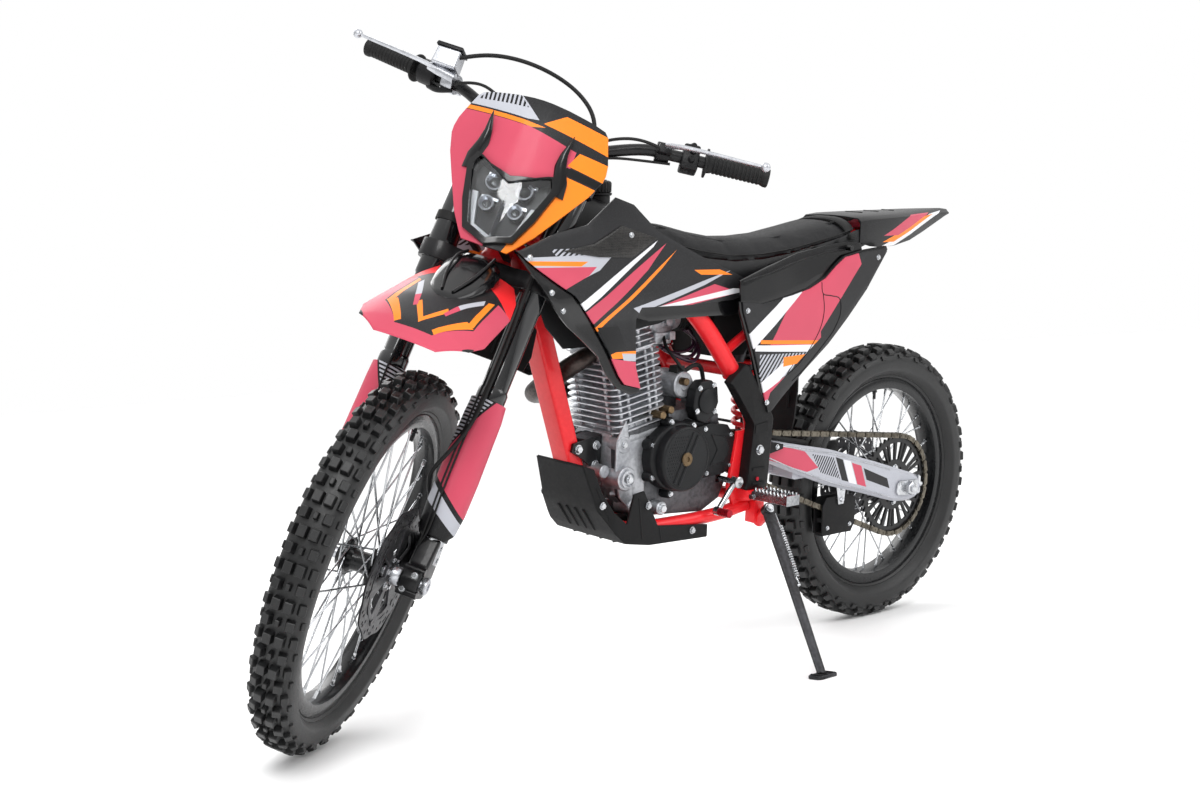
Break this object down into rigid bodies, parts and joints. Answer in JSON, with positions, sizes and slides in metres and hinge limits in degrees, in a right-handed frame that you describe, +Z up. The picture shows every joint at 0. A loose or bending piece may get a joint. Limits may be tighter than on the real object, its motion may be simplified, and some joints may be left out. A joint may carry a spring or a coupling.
{
  "type": "trail motorcycle",
  "caption": "Enduro trail motorcycle with spoked wheels, long fork, lamp mask, slim seat and high exhaust, parked on its side stand with the bars turned left",
  "frame": {"origin": "centre of the bounding box in plan, on the ground", "axes": "+X points forward along the bike, +Y to its left, +Z up; the bike leans left on its stand"},
  "size_m": [2.0774, 0.6776, 1.303],
  "materials": {
    "frame_paint": "gloss red enamel",
    "black_paint": "satin black coating",
    "cast_alloy": "sand-cast, matt",
    "dark_cover": "black coated casting",
    "machined_alloy": "brushed, silver",
    "steel": "zinc plated",
    "dark_steel": "dark, heat stained",
    "chain_steel": "oiled bronze tone",
    "plated": "hard plated, polished",
    "black_plastic": "grained black",
    "graphic_plastic": "dark grey with colour bands",
    "rubber": "ribbed black",
    "tyre": "knobbly, dry",
    "seat_cover": "grained black vinyl",
    "lens": "clear lens over lamps",
    "tail_lens": "red lens"
  },
  "bodies": {
    "chassis": {"main_frame": "frame_paint", "rear_subframe": "frame_paint", "swingarm": "machined_alloy", "rear_axle": "steel", "rear_shock": "dark_steel", "crankcase": "cast_alloy", "engine_covers": "dark_cover", "cylinder": "cast_alloy", "carburettor": "cast_alloy", "air_box": "black_plastic", "exhaust_pipe": "dark_steel", "silencer": "machined_alloy", "skid_plate": "black_plastic", "engine_mounts": "black_paint", "frame_guards": "black_plastic", "drive_chain": "chain_steel", "drive_pinion": "steel", "chain_guide": "black_plastic", "seat": "seat_cover", "fuel_tank": "black_plastic", "tank_shrouds": "graphic_plastic", "side_panels": "graphic_plastic", "rear_fender": "graphic_plastic", "mudflap": "black_plastic", "tail_lamp": "tail_lens", "footpegs": "steel", "foot_levers": "dark_steel", "rear_caliper": "machined_alloy"},
    "side_stand": {"side_stand": "dark_steel", "stand_spring": "steel"},
    "steering": {"fork_clamps": "machined_alloy", "fork_tubes": "black_paint", "fork_stanchions": "plated", "fork_guards": "graphic_plastic", "front_axle": "steel", "handlebar": "black_paint", "grips": "rubber", "hand_levers": "machined_alloy", "bar_controls": "black_plastic", "lamp_mask": "graphic_plastic", "headlamp": "lens", "front_fender": "graphic_plastic", "fender_scoop": "black_plastic", "brake_hose": "rubber", "front_caliper": "machined_alloy"},
    "front_wheel": {"front_tyre": "tyre", "front_rim": "black_paint", "front_spokes": "steel", "front_disc": "dark_steel"},
    "rear_wheel": {"rear_tyre": "tyre", "rear_rim": "black_paint", "rear_spokes": "steel", "rear_disc": "dark_steel", "rear_sprocket": "black_paint"}
  },
  "joints": [
    {"name": "steering", "type": "hinge", "parent": "chassis", "child": "steering", "pos_m": [0.68806, -0.12092, 0.31396], "axis": [-0.4498, 0.1394, 0.8822], "range_deg": [-74, 0]},
    {"name": "front_wheel_spin", "type": "hinge", "parent": "steering", "child": "front_wheel", "pos_m": [0.73273, -0.08011, 0.33029], "axis": [-0.5381, 0.7461, -0.3923], "continuous": true},
    {"name": "rear_wheel_spin", "type": "hinge", "parent": "chassis", "child": "rear_wheel", "pos_m": [-0.7231, -0.12147, 0.3171], "axis": [-0.0007, 0.9877, -0.1564], "continuous": true},
    {"name": "side_stand_fold", "type": "hinge", "parent": "chassis", "child": "side_stand", "pos_m": [-0.20968, 0.02188, 0.31015], "axis": [0.1098, 0.8134, 0.5712], "range_deg": [0, 103.2]}
  ]
}
